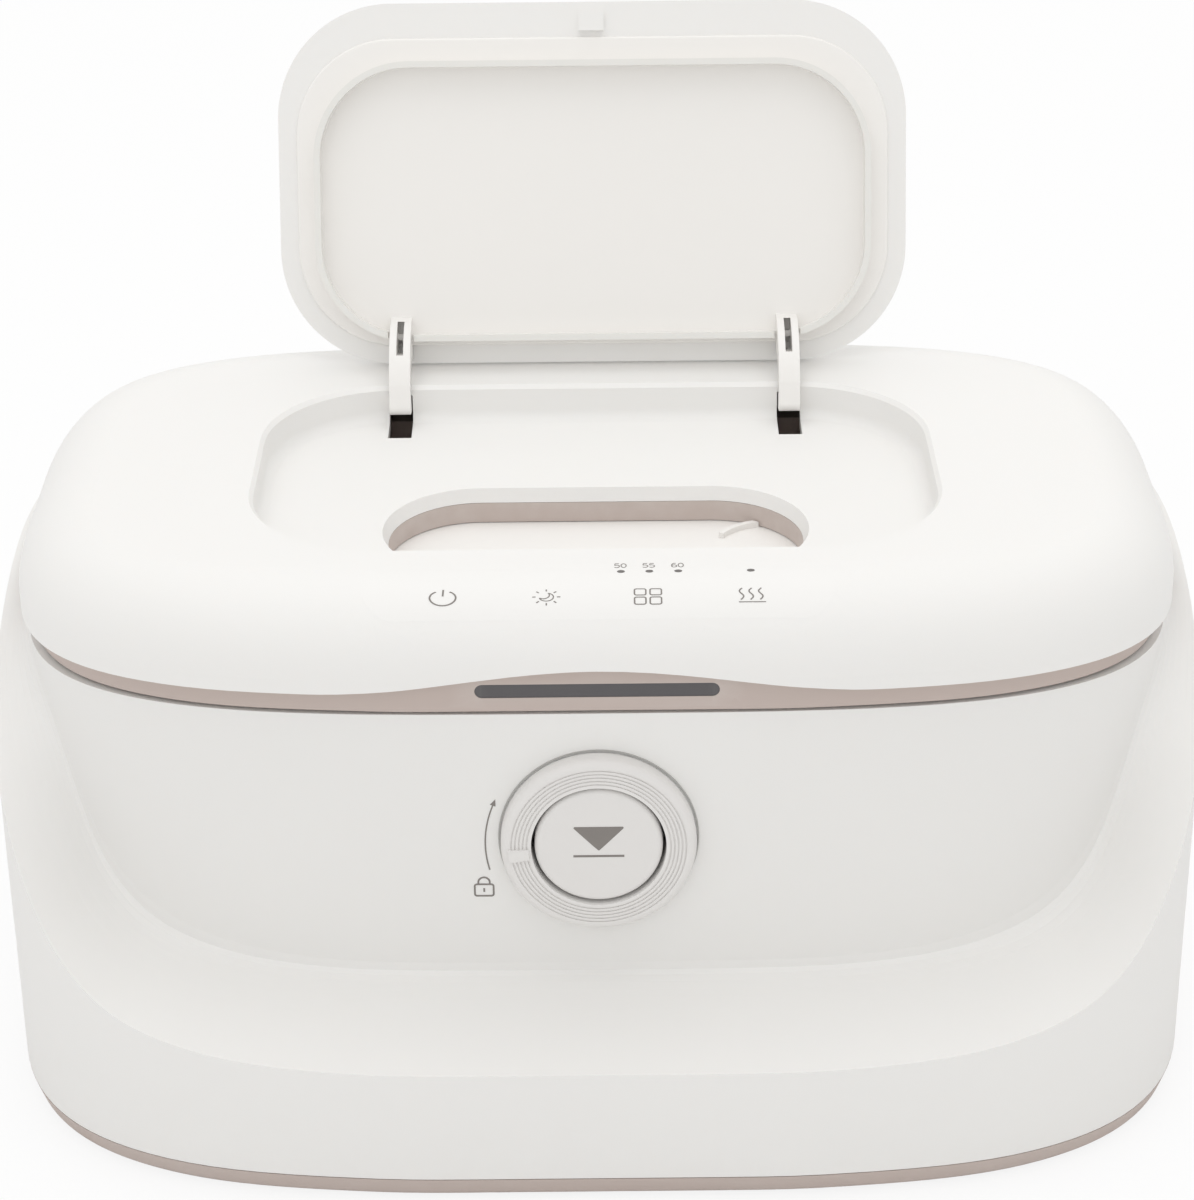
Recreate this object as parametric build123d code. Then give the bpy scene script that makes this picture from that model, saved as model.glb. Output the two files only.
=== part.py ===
from build123d import *
from math import atan2, cos, hypot, pi, radians, sin, sqrt
import os

os.makedirs("parts", exist_ok=True)

# ---------------------------------------------------------------- driving sizes
# Everything is in millimetres.  Z is up, the front faces -Y, and the origin is the
# middle of the footprint on the table.
base_half_x = 129.3        # outer wall of the body, a superellipse in plan
base_half_y = 94.5
base_power = 3.6
lid_y = 12.3               # the lid sits this far behind the middle of the base
lid_half_x = 125.0
lid_half_y = 74.5
lid_power = 3.66
core_half_x = 123.7        # the inner block whose front face carries the knob
core_half_y = 71.0
core_power = 3.7
wall = 2.6                 # moulded wall of the body
skin = 2.4                 # moulded wall of the lid

foot_height = 1.0          # feet stand out below the pan
seam_z = 5.95              # joint between the base pan and the body
seat_z = 96.4              # top of the inner block, just under the lid
rim_z = 101.7              # highest part of the wrap around the lid
lid_edge_z = 102.65        # lower edge of the white lid shell
lid_top_z = 122.9
wave_rise = 5.3            # the white edge arches up over the light window
wave_half_x = 60.0

recess_x, recess_y, recess_corner = 147.2, 84.7, 28.6
recess_centre_y = lid_y - 5.25
recess_floor_z = 114.4
mouth_x, mouth_y = 92.0, 41.4           # dispensing opening in the recess floor
mouth_centre_y = lid_y - 21.0

knob_z = 67.0
knob_face_y = lid_y - core_half_y       # front wall of the inner block
knob_ring_r = 20.4
knob_button_r = 13.35
button_travel = 2.2

flip_x, flip_y, flip_corner = 145.3, 82.8, 26.4
flip_pivot_y = lid_y + 43.7
flip_pivot_z = 117.5
flip_open_deg = 109.0
arm_x = 44.75                            # the two arms of the flip lid
arm_width = 4.8
slot_width = 5.4

hinge_y = lid_y + 77.5                   # main lid hinge at the back rim
hinge_z = 98.0
hinge_x = 52.0

tank_half_x, tank_half_y, tank_power = 110.0, 57.8, 3.9
tank_y = 19.2
tank_wall = 1.8
tank_floor_z = 14.1

latch_pivot_y, latch_pivot_z = -46.4, 34.0
running_gap = 0.05


# ---------------------------------------------------------------- shared shapes
def superellipse(half_x, half_y, power, centre_y=0.0, z=0.0):
    # |x / half_x| ** power + |y / half_y| ** power = 1, as four splines
    stations = 9
    quarter = []
    for step in range(stations):
        turn = pi / 2 * step / (stations - 1)
        x = half_x * cos(turn) ** (2 / power)
        y = half_y * sin(turn) ** (2 / power)
        quarter.append((round(x, 5), round(y, 5)))
    edges = []
    for sign_x, sign_y in ((1, 1), (-1, 1), (-1, -1), (1, -1)):
        points = [(sign_x * x, sign_y * y + centre_y, z) for x, y in quarter]
        tangents = [(0, sign_y, 0), (-sign_x, 0, 0)]
        edges.append(Spline(*points, tangents=tangents))
    return Face(Wire(edges))


def oval_block(half_x, half_y, power, centre_y, low, high):
    return extrude(superellipse(half_x, half_y, power, centre_y, low), amount=high - low)


def lid_block(inset, low, high):
    return oval_block(lid_half_x - inset, lid_half_y - inset, lid_power, lid_y, low, high)


def core_block(inset, low, high):
    return oval_block(core_half_x - inset, core_half_y - inset, core_power, lid_y, low, high)


def box(x_low, x_high, y_low, y_high, z_low, z_high):
    size = (x_high - x_low, y_high - y_low, z_high - z_low)
    middle = ((x_high + x_low) / 2, (y_high + y_low) / 2, (z_high + z_low) / 2)
    return Pos(*middle) * Box(*size)


def post(x, y, radius, low, high):
    return Pos(x, y, (low + high) / 2) * Cylinder(radius, high - low)


def rod_x(y, z, radius, x_low, x_high):
    return Pos((x_low + x_high) / 2, y, z) * Rot(0, 90, 0) * Cylinder(radius, x_high - x_low)


def rod_y(x, z, radius, y_low, y_high):
    return Pos(x, (y_low + y_high) / 2, z) * Rot(90, 0, 0) * Cylinder(radius, y_high - y_low)


def rounded_block(size_x, size_y, corner, centre_y, low, high):
    outline = RectangleRounded(size_x, size_y, corner)
    return extrude(Pos(0, centre_y, low) * outline, amount=high - low)


def mirrored(shape):
    return shape + mirror(shape, about=Plane.YZ)


def screw(x, y, head_z, length, head_up=True, shank_r=1.5, head_r=2.7, head_height=1.5):
    # pan-head screw standing on Z with a cross recess in its head
    direction = -1 if head_up else 1
    head_far = head_z + direction * head_height
    tip = head_far + direction * length
    head = post(x, y, head_r, min(head_z, head_far), max(head_z, head_far))
    head = fillet(head.edges().sort_by(Axis.Z)[-1 if head_up else 0], 0.5)
    shank = post(x, y, shank_r, min(head_far, tip), max(head_far, tip))
    recess_low = min(head_z, head_z + direction * 0.9)
    recess_high = max(head_z, head_z + direction * 0.9)
    cross = box(x - 1.6, x + 1.6, y - 0.3, y + 0.3, recess_low, recess_high)
    cross += box(x - 0.3, x + 0.3, y - 1.6, y + 1.6, recess_low, recess_high)
    return head + shank - cross


def helix_spring(radius, wire_r, height, turns):
    path = Helix(pitch=height / turns, height=height, radius=radius)
    ring = Plane(path @ 0, z_dir=path % 0) * Circle(wire_r)
    return sweep(ring, path=path, is_frenet=True)


# ---------------------------------------------------------------- knob and latch
ring_sleeve_r = 16.95
ring_bore_r = 14.1
latch_plate_y = -52.6
latch_boss_places = [(-20.0, 50.0), (20.0, 50.0), (-20.0, 84.0), (20.0, 84.0)]
stem_r = 4.95
ring_front_y = knob_face_y - 4.2
button_front_y = ring_front_y + 0.4
hinge_pin_r = 1.5


def sector(radius_in, radius_out, y_low, y_high, middle_deg, half_deg):
    # a stretch of ring around the knob's axis; angles are seen from the front,
    # counted from +X towards +Z
    ring = rod_y(0, knob_z, radius_out, y_low, y_high) - rod_y(0, knob_z, radius_in, y_low, y_high)
    reach = radius_out * 2
    first = radians(middle_deg - half_deg)
    last = radians(middle_deg + half_deg)
    wedge = Polyline((0, 0), (reach * cos(first), reach * sin(first)),
                     (reach * cos(last), reach * sin(last)), close=True)
    face = Plane(origin=(0, y_high, knob_z), x_dir=(1, 0, 0), z_dir=(0, -1, 0)) * make_face(wedge)
    return ring & extrude(face, amount=y_high - y_low)


def lock_ring():
    shape = rod_y(0, knob_z, knob_ring_r, ring_front_y, knob_face_y - 0.35)
    shape = fillet(shape.edges().filter_by(GeomType.CIRCLE).sort_by(Axis.Y)[0], 1.6)
    shape += rod_y(0, knob_z, ring_sleeve_r, ring_front_y + 1, knob_face_y + 4.6)
    shape -= rod_y(0, knob_z, ring_bore_r, ring_front_y - 1, knob_face_y + 5)
    for groove in range(5):
        radius = 15.0 + 0.8 * groove
        cut = rod_y(0, knob_z, radius + 0.17, ring_front_y - 1, ring_front_y + 0.25)
        cut -= rod_y(0, knob_z, radius - 0.17, ring_front_y - 1, ring_front_y + 0.25)
        shape -= cut
    for turn in (60, 180, 300):            # snap lugs behind the wall
        shape += sector(ring_sleeve_r - 1, 18.3, knob_face_y + wall + 0.35, knob_face_y + 4.6, turn, 16)
    for turn in (90, 270):                 # tabs that close on the button's legs
        shape += sector(12.1, ring_bore_r + 0.5, knob_face_y + 3.1, knob_face_y + 4.6, turn, 8)
    shape += sector(14.6, 18.9, ring_front_y - 0.45, ring_front_y + 0.4, 186, 4.6)     # pointer
    return shape


def push_button():
    shape = rod_y(0, knob_z, knob_button_r, button_front_y, knob_face_y + 0.4)
    shape = fillet(shape.edges().filter_by(GeomType.CIRCLE).sort_by(Axis.Y)[0], 1.0)
    for turn in (127.5, 307.5):            # legs that the ring's tabs come up to when it is locked
        shape += sector(12.3, knob_button_r, knob_face_y, knob_face_y + 2.8, turn, 7)
    shape += rod_y(0, knob_z, stem_r, knob_face_y, -48.0)
    return shape


def button_spring():
    coil = helix_spring(8.0, 0.45, 4.0, 2.6)
    coil = Rot(-90, 0, 0) * coil
    return Pos(0, knob_face_y + 0.95, knob_z) * coil


def latch_housing():
    shape = box(-25, 25, latch_plate_y, latch_plate_y + 2.0, 27, 88)
    shape = fillet(shape.edges().filter_by(Axis.Y), 4)
    shape += rod_y(0, knob_z, 7.4, latch_plate_y - 0.9, latch_plate_y + 4.2)
    shape -= rod_y(0, knob_z, stem_r + running_gap, latch_plate_y - 3, latch_plate_y + 8)
    for side in (-1, 1):
        ear = box(side * 10.2 - 1.1, side * 10.2 + 1.1, latch_plate_y + 1, -43.0, 29, 39)
        shape += fillet(ear.edges().filter_by(Axis.X).group_by(Axis.Y)[-1], 3)
        shape += box(side * 15 - 1, side * 15 + 1, latch_plate_y + 1.5, latch_plate_y + 4.0, 42, 84)
    shape -= rod_x(latch_pivot_y, latch_pivot_z, hinge_pin_r, -12, 12)
    for x, z in latch_boss_places:
        shape -= rod_y(x, z, 1.4, latch_plate_y - 1, latch_plate_y + 4)
    return shape


def latch_screws():
    shapes = []
    for x, z in latch_boss_places:
        flat = screw(0, 0, 1.5, 5.0, head_up=True, shank_r=1.2, head_r=2.4)
        shapes.append(Pos(x, latch_plate_y + 2.0, z) * Rot(-90, 0, 0) * flat)
    return Compound(children=shapes)


def latch_lever():
    lower = box(-8, 8, -47.6, -45.2, latch_pivot_z, 76)
    step = box(-8, 8, -47.6, -43.6, 73, 77)
    upper = box(-8, 8, -45.8, -43.6, 75, 93.8)
    nose_outline = Polyline((-45.0, 91.0), (-48.0, 91.0), (-48.0, 91.8), (-46.0, 93.8),
                            (-45.0, 93.8), close=True)
    nose = extrude(Plane.YZ * make_face(nose_outline), amount=7, both=True)
    barrel = rod_x(latch_pivot_y, latch_pivot_z, 3.2, -5.2, 5.2)
    shape = lower + step + upper + nose
    shape -= box(-9, -5.2, -50, -42, 30, 38.5) + box(5.2, 9, -50, -42, 30, 38.5)
    shape += barrel
    shape -= rod_x(latch_pivot_y, latch_pivot_z, hinge_pin_r + running_gap, -10, 10)
    shape -= box(-3.5, 3.5, -49, -42, 50, 60)
    return shape


def latch_pin():
    shape = rod_x(latch_pivot_y, latch_pivot_z, hinge_pin_r, -12.4, 11.3)
    return shape + rod_x(latch_pivot_y, latch_pivot_z, 2.4, 11.3, 12.3)


def latch_spring():
    coil = helix_spring(2.15, 0.35, 2.6, 3.5)
    return Pos(5.8, latch_pivot_y, latch_pivot_z) * Rot(0, 90, 0) * coil


# ---------------------------------------------------------------- white body shell
# The wrap stands around the core like a cradle.  Each station gives the angle from
# the front, the height of the wrap's edge there, the fullness of the sweep that joins
# the edge to the core wall (two is an ellipse, more is squarer) and where it starts.
ledge_stations = [
    (0, 32.0, 4.0, 36.0), (16, 32.0, 4.0, 36.0), (30, 32.3, 4.0, 36.4), (40, 33.7, 4.0, 38.6),
    (47, 36.4, 3.9, 42.6), (52, 40.3, 3.8, 48.0), (57, 48.0, 3.6, 56.6), (61, 57.0, 3.4, 66.0),
    (65, 66.5, 3.2, 75.6), (70, 76.5, 3.0, 85.4), (76, 85.5, 2.6, 93.2), (82, 93.0, 2.2, 97.0),
    (88, 98.3, 2.0, 97.0), (95, 101.0, 2.0, 97.0), (105, 101.7, 2.0, 97.0), (125, 101.7, 2.0, 97.0),
    (145, 101.7, 2.0, 97.0), (163, 101.7, 2.0, 97.0), (180, 101.7, 2.0, 97.0),
]
section_steps = 8
section_angles = [-5, 0, 10, 20, 28, 34, 39, 43] + [46 + 3 * step for step in range(16)]
section_angles += [96, 102, 110, 125, 145, 163, 180, 186]
back_step = 1.8            # the back rim stands this much over its inner edge


def core_level(x, y, inset):
    return (abs(x / (core_half_x - inset)) ** core_power
            + abs((y - lid_y) / (core_half_y - inset)) ** core_power)


def wrap_point(angle):
    # where a ray from the base centre leaves the outer wall
    across, ahead = sin(radians(angle)), -cos(radians(angle))
    reach = (abs(across / base_half_x) ** base_power
             + abs(ahead / base_half_y) ** base_power) ** (-1 / base_power)
    return across * reach, ahead * reach


def core_point(x, y, inset):
    # the nearest place on the core wall, found along the core's own normal
    ahead = y - lid_y
    normal_x = abs(x / core_half_x) ** (core_power - 1) / core_half_x
    normal_y = abs(ahead / core_half_y) ** (core_power - 1) / core_half_y
    size = hypot(normal_x, normal_y)
    step_x = (1 if x > 0 else -1) * normal_x / size
    step_y = (1 if ahead > 0 else -1) * normal_y / size
    near, far = 0.0, 60.0
    for _ in range(40):
        middle = (near + far) / 2
        if core_level(x - middle * step_x, y - middle * step_y, inset) > 1:
            near = middle
        else:
            far = middle
    return x - far * step_x, y - far * step_y


def ledge_section(angle, sink, inset):
    # a quarter of a superellipse from the core wall down and out to the wrap's edge,
    # and a little further, level, past the outer wall
    edge_z, fullness, shoulder_z = between(min(abs(angle), 360 - abs(angle)))
    rim_x, rim_y = wrap_point(angle)
    foot_x, foot_y = core_point(rim_x, rim_y, inset)
    drop = max(shoulder_z, edge_z - back_step) - edge_z
    points = []
    for step in range(section_steps + 1):
        turn = pi / 2 * step / section_steps
        reach = 1 - cos(turn) ** (2 / fullness) if step < section_steps else 1
        height = 1 - sin(turn) ** (2 / fullness)
        points.append((foot_x + reach * (rim_x - foot_x), foot_y + reach * (rim_y - foot_y),
                       edge_z + drop * height - sink))
    past = (rim_x + 0.25 * (rim_x - foot_x), rim_y + 0.25 * (rim_y - foot_y), edge_z - sink)
    return points, past


def between(angle):
    # values at any angle: a cubic through the neighbouring stations
    count = len(ledge_stations)
    index = max(i for i in range(count - 1) if ledge_stations[i][0] <= angle)
    before = ledge_stations[max(index - 1, 0)]
    here, there = ledge_stations[index], ledge_stations[index + 1]
    after = ledge_stations[min(index + 2, count - 1)]
    share = (angle - here[0]) / (there[0] - here[0])
    values = []
    for column in (1, 2, 3):
        rise_here = (there[column] - before[column]) / (there[0] - before[0])
        rise_there = (after[column] - here[column]) / (after[0] - here[0])
        span = there[0] - here[0]
        a, b = here[column], there[column]
        values.append((1 - share) ** 2 * ((1 + 2 * share) * a + share * span * rise_here)
                      + share ** 2 * ((3 - 2 * share) * b + (share - 1) * span * rise_there))
    return values


def above_ledge(sink, inset):
    # everything over the sweep and outside the core wall, on the right-hand side
    sections = []
    for angle in section_angles:
        points, past = ledge_section(angle, sink, inset)
        cap = [past, (past[0], past[1], 150), (points[0][0], points[0][1], 150), points[0]]
        sections.append(Face(Wire(Polyline(*points, *cap).edges())))
    return loft(sections)


def cradled(block, sink=0.0, inset=0.0):
    # the block without what lies over the sweep: one half is cut, then mirrored
    reach = 2 * base_half_x
    half = block & box(0, reach, -reach, reach, -reach, reach)
    half -= above_ledge(sink, inset)
    return half + mirror(half, about=Plane.YZ)


column_places = [(115.5, -12.0), (115.5, 44.0)]       # and the same on the other side
short_column_places = [(72.0, -80.0)]
jack_x, jack_z = 62.0, 20.0
jack_face_y = 91.2


def hinge_notches():
    # gaps in the back rim where the lid's knuckles turn
    notch = box(hinge_x - 11.0, hinge_x + 11.0, lid_y + 72.0, base_half_y + 1, 92.6, rim_z + 1)
    return mirrored(notch)


def body_shell():
    shape = cradled(oval_block(base_half_x, base_half_y, base_power, 0, seam_z + 0.2, rim_z))
    shape -= oval_block(124.6, 74.3, lid_power, lid_y, seat_z, rim_z + 5)

    low = cradled(oval_block(base_half_x - wall, base_half_y - wall, base_power, 0, 0, 91.6),
                  sink=wall + 0.8, inset=wall)
    hollow = low + core_block(wall, 0, 91.6)
    hollow += core_block(5.3, 91.0, 95.0)                    # opening inside the seat lip
    hollow += core_block(2.8, 94.2, 98.0)                    # pocket for the tank flange
    shape -= hollow

    for x, y in column_places:
        column = post(x, y, 4.0, 3.4, 92.0)
        column += box(x, 127.6, y - 1.0, y + 1.0, 12.0, 92.0)
        column &= oval_block(base_half_x - 1, base_half_y - 1, base_power, 0, 0, 92.0)
        shape += mirrored(column)
    for x, y in short_column_places:
        column = post(x, y, 4.0, 3.4, 32.0)
        shape += mirrored(column)
    for x, y in column_places:
        shape -= mirrored(post(x, y, 1.55, 2.0, 16.0) + post(x, y, 1.55, 78.0, 98.0))
    for x, y in short_column_places:
        shape -= mirrored(post(x, y, 1.55, 2.0, 16.0))

    # knob opening with the collar the lock ring turns in, and bosses for the latch
    shape -= rod_y(0, knob_z, ring_sleeve_r + running_gap, knob_face_y - 2, knob_face_y + 6)
    for x, z in latch_boss_places:
        boss = rod_y(x, z, 3.2, knob_face_y + 1.0, latch_plate_y)
        boss -= rod_y(x, z, 1.3, knob_face_y + 2.4, latch_plate_y + 1)
        shape += boss
    shape -= box(-10.0, 10.0, -57.0, -44.0, 90.0, 94.3)      # way through the lip for the striker

    # socket at the back: a round pocket with a flat floor and a hole for the jack
    shape += rod_y(jack_x, jack_z, 9.5, 84.6, 90.6) & \
        oval_block(base_half_x - 1, base_half_y - 1, base_power, 0, 0, 92.0)
    shape -= rod_y(jack_x, jack_z, 7.0, jack_face_y, 96)
    shape -= box(jack_x - 4.6, jack_x + 4.6, 80, 92, jack_z - 5.6, jack_z + 5.6)

    # back rim: notches, and the bore that carries each hinge pin
    shape -= hinge_notches()
    shape -= mirrored(rod_x(hinge_y, hinge_z, hinge_pin_r, hinge_x - 17.0, hinge_x + 17.0))
    return shape


# ---------------------------------------------------------------- base pan, feet, screws
foot_places = [(92.0, -62.0), (92.0, 64.0)]
pan_floor_z = 3.2
board_z = 9.0
board_posts = [(62.0, -72.0), (-62.0, -72.0)]


def base_pan():
    low = superellipse(base_half_x - 1.3, base_half_y - 1.9, base_power, 0, foot_height)
    high = superellipse(base_half_x, base_half_y, base_power, 0, seam_z)
    shape = loft([low, high], ruled=True)
    shape = fillet(shape.edges().group_by(Axis.Z)[0], 1.2)
    shape += oval_block(base_half_x - wall - 0.2, base_half_y - wall - 0.2, base_power, 0, 4, 9.0)
    shape -= oval_block(base_half_x - 4.6, base_half_y - 4.6, base_power, 0, pan_floor_z, 12)
    for x, y in foot_places:
        shape -= mirrored(post(x, y, 8.1, 0, 1.7))
    for x, y in column_places + short_column_places:
        shape -= mirrored(post(x, y, 1.7, 0, 6) + post(x, y, 3.2, 0, 1.9))
    for x, y in board_posts:
        shape += post(x, y, 3.0, 3.0, board_z) - post(x, y, 1.2, 4.4, board_z + 1)
    for x in (-88.0, -44.0, 0.0, 44.0, 88.0):                # ribs that carry the insulation
        shape += box(x - 1, x + 1, -22, 60, 3.0, 6.5)
    for step in range(9):                                    # vents
        x = -32 + 8 * step
        shape -= box(x - 1.2, x + 1.2, -50, -32, 0, 5)
    return shape


def rubber_feet():
    shapes = []
    for x, y in foot_places:
        for side in (-1, 1):
            foot = post(side * x, y, 8.0, 0, 1.7)
            shapes.append(fillet(foot.edges().group_by(Axis.Z)[0], 0.6))
    return Compound(children=shapes)


def base_screws():
    shapes = []
    for x, y in column_places + short_column_places:
        for side in (-1, 1):
            shapes.append(screw(side * x, y, 0.4, 10.5, head_up=False))
    return Compound(children=shapes)


# ---------------------------------------------------------------- wipes tank and heater
def inner_tank():
    shape = oval_block(tank_half_x, tank_half_y, tank_power, tank_y, tank_floor_z - tank_wall, 95.0)
    shape = fillet(shape.edges().group_by(Axis.Z)[0], 6.0)
    flange = core_block(3.1, 94.2, 96.2)
    shape += flange
    hollow = oval_block(tank_half_x - tank_wall, tank_half_y - tank_wall, tank_power, tank_y,
                        tank_floor_z, 99)
    hollow = fillet(hollow.edges().group_by(Axis.Z)[0], 4.6)
    shape -= hollow
    shape -= box(-9.0, 9.0, -54.6, -46.0, 94, 97)             # slot for the lid's striker
    for x, y in column_places:
        shape -= mirrored(post(x, y, 1.6, 90, 97) + post(x, y, 2.9, 94.75, 97))
    for x in (-60.0, -30.0, 0.0, 30.0, 60.0):                 # ribs the stack rests on
        rib = box(x - 1, x + 1, tank_y - 40, tank_y + 40, tank_floor_z - 0.2, tank_floor_z + 1.2)
        shape += fillet(rib.edges().filter_by(Axis.Y).group_by(Axis.Z)[-1], 0.8)
    return shape


def tank_screws():
    shapes = []
    for x, y in column_places:
        for side in (-1, 1):
            shapes.append(screw(side * x, y, 96.25, 10.0))
    return Compound(children=shapes)


heater_low = 11.3
heater_high = 12.3


def heater_plate():
    shape = rounded_block(188, 92, 18, tank_y, heater_low, heater_high)
    for x in (-70.0, 70.0):
        shape -= post(x, tank_y + 36, 2.0, 10, 14)
    return shape


def heater_film():
    # flat heating film with a tail towards the board
    shape = rounded_block(176, 80, 14, tank_y, heater_low - 0.3, heater_low)
    return shape + box(-12, 12, tank_y - 48, tank_y - 39, heater_low - 0.3, heater_low)


def insulation_pad():
    shape = rounded_block(190, 94, 18, tank_y, 6.5, heater_low - 0.3)
    shape -= post(-20, tank_y, 3.4, 8.0, 12)
    shape -= box(14, 30, tank_y - 3.2, tank_y + 3.2, 7.2, 12)
    shape -= box(-13, 13, tank_y - 50, tank_y - 41, 6, 12)
    return shape


def temperature_sensor():
    bead = post(-20, tank_y, 2.4, heater_low - 3.1, heater_low - 0.3)
    return fillet(bead.edges().group_by(Axis.Z)[0], 1.0)


def thermal_fuse():
    x = 22.0
    body = rod_x(tank_y, heater_low - 2.1, 1.8, x - 5, x + 5)
    return body + rod_x(tank_y, heater_low - 2.1, 0.5, x - 7.2, x + 7.2)


# ---------------------------------------------------------------- electronics in the base
def main_board():
    shape = box(-66, 66, -85, -60, board_z, board_z + 1.6)
    shape = fillet(shape.edges().filter_by(Axis.Z), 2.0)
    for x, y in board_posts:
        shape -= post(x, y, 1.3, 8, 12)
    return shape


def board_parts():
    top = board_z + 1.6
    shapes = [box(-52, -38, -82, -66, top, top + 9.0),                      # relay
              box(-12, -4, -74, -66, top, top + 1.6),                       # controller
              box(50, 58, -75, -66.5, top, top + 6.0)]                      # supply plug-in
    for x in (-30.0, -22.0):
        shapes.append(post(x, -72, 3.4, top, top + 8.5))                    # capacitors
    for x in (4.0, 10.0, 16.0, 22.0):
        shapes.append(box(x - 1.0, x + 1.0, -71, -69.6, top, top + 0.9))    # resistors
    shapes.append(post(36, -71, 5.0, top, top + 5.0))                       # coil
    shapes.append(box(8, 20, -83.5, -78.5, top, top + 5.5))                 # heater socket
    return Compound(children=shapes)


def board_screws():
    return Compound(children=[screw(x, y, board_z + 3.1, 4.0, shank_r=1.15, head_r=2.3)
                              for x, y in board_posts])


def dc_jack():
    # barrel socket: a block behind a round nose, a blind bore and the pin inside it
    block = box(jack_x - 4.5, jack_x + 4.5, 79.5, jack_face_y - 1.5, jack_z - 5.5, jack_z + 5.5)
    shape = block + rod_y(jack_x, jack_z, 4.4, jack_face_y - 3, jack_face_y + 0.5)
    shape -= rod_y(jack_x, jack_z, 3.1, jack_face_y - 9.5, jack_face_y + 1)
    return shape + rod_y(jack_x, jack_z, 1.0, 80.5, jack_face_y - 0.6)


def wire(points, radius, bend):
    path = FilletPolyline(*points, radius=bend)
    ring = Plane(path @ 0, z_dir=path % 0) * Circle(radius)
    return sweep(ring, path=path)


def supply_wires():
    # two leads from the jack along the right wall to the board, one above the other
    shapes = []
    for jack_side, height, board_y in ((-2.0, 4.3, -69.0), (2.0, 6.6, -72.5)):
        x = jack_x + jack_side
        points = [(x, 79.4, jack_z), (x, 77.0, jack_z), (x, 77.0, height), (99.0, 71.0, height),
                  (99.0, board_y, height), (70.5, board_y, height), (70.5, board_y, 13.6),
                  (58.1, board_y, 13.6)]
        shapes.append(wire(points, 0.9, 2.0))
    return Compound(children=shapes)


def heater_wires():
    shapes = []
    for x in (11.0, 15.0):
        points = [(x, -78.4, 14.0), (x, -56.0, 14.0), (x, -56.0, 10.1), (x, tank_y - 48.1, 10.1)]
        shapes.append(wire(points, 0.7, 1.6))
    return Compound(children=shapes)


# ---------------------------------------------------------------- lid, white top shell
lid_round = 17.0
recess_lip = 0.9                       # bevel around the recess
slot_front_y = lid_y + 27.2
bridge_z = 120.7                       # underside of the strip over each arm slot
lid_screw_places = [(98.0, lid_y - 34.0), (98.0, lid_y + 38.0), (58.0, lid_y + 58.0)]
board_tilt_deg = 24.8
board_centre_y, touch_board_z = lid_y - 59.6, 115.2
key_places = [-31.1, -10.1, 10.5, 31.6]


def wave_height(x):
    share = min(abs(x) / wave_half_x, 1)
    return lid_edge_z + wave_rise * cos(pi / 2 * share) ** 2


def wave_cutter(half_depth, margin=0.0):
    # space under the white shell's front edge, which arches over the light window
    points = [(x, wave_height(x) - margin) for x in range(-60, 61, 12)]
    arch = Spline(*points, tangents=[(1, 0), (1, 0)])
    ends = Polyline(points[-1], (wave_half_x, 90), (-wave_half_x, 90), points[0])
    face = make_face(Wire([*arch.edges(), *ends.edges()]))
    return extrude(Plane(origin=(0, lid_y, 0), x_dir=(1, 0, 0), z_dir=(0, -1, 0)) * face,
                   amount=half_depth)


def lid_dome(inset, low):
    # the lid's outside with its rounded top, or the same moved inwards
    dome = lid_block(inset, low, lid_top_z - inset)
    return fillet(dome.edges().group_by(Axis.Z)[-1], lid_round - inset)


def arm_slot(low=100.0, high=bridge_z, back=lid_y + 52.0, extra=0.0):
    half = slot_width / 2 + extra
    return mirrored(box(arm_x - half, arm_x + half, slot_front_y, back, low, high))


def touch_outline(grow=0.0):
    outline = SlotOverall(96.6 + 2 * grow, 14.6 + 2 * grow)
    return extrude(Pos(0.4, lid_y - 62.6, 105) * outline, amount=30)


def tilted(shape):
    return Pos(0, board_centre_y, touch_board_z) * Rot(board_tilt_deg, 0, 0) * shape


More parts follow.
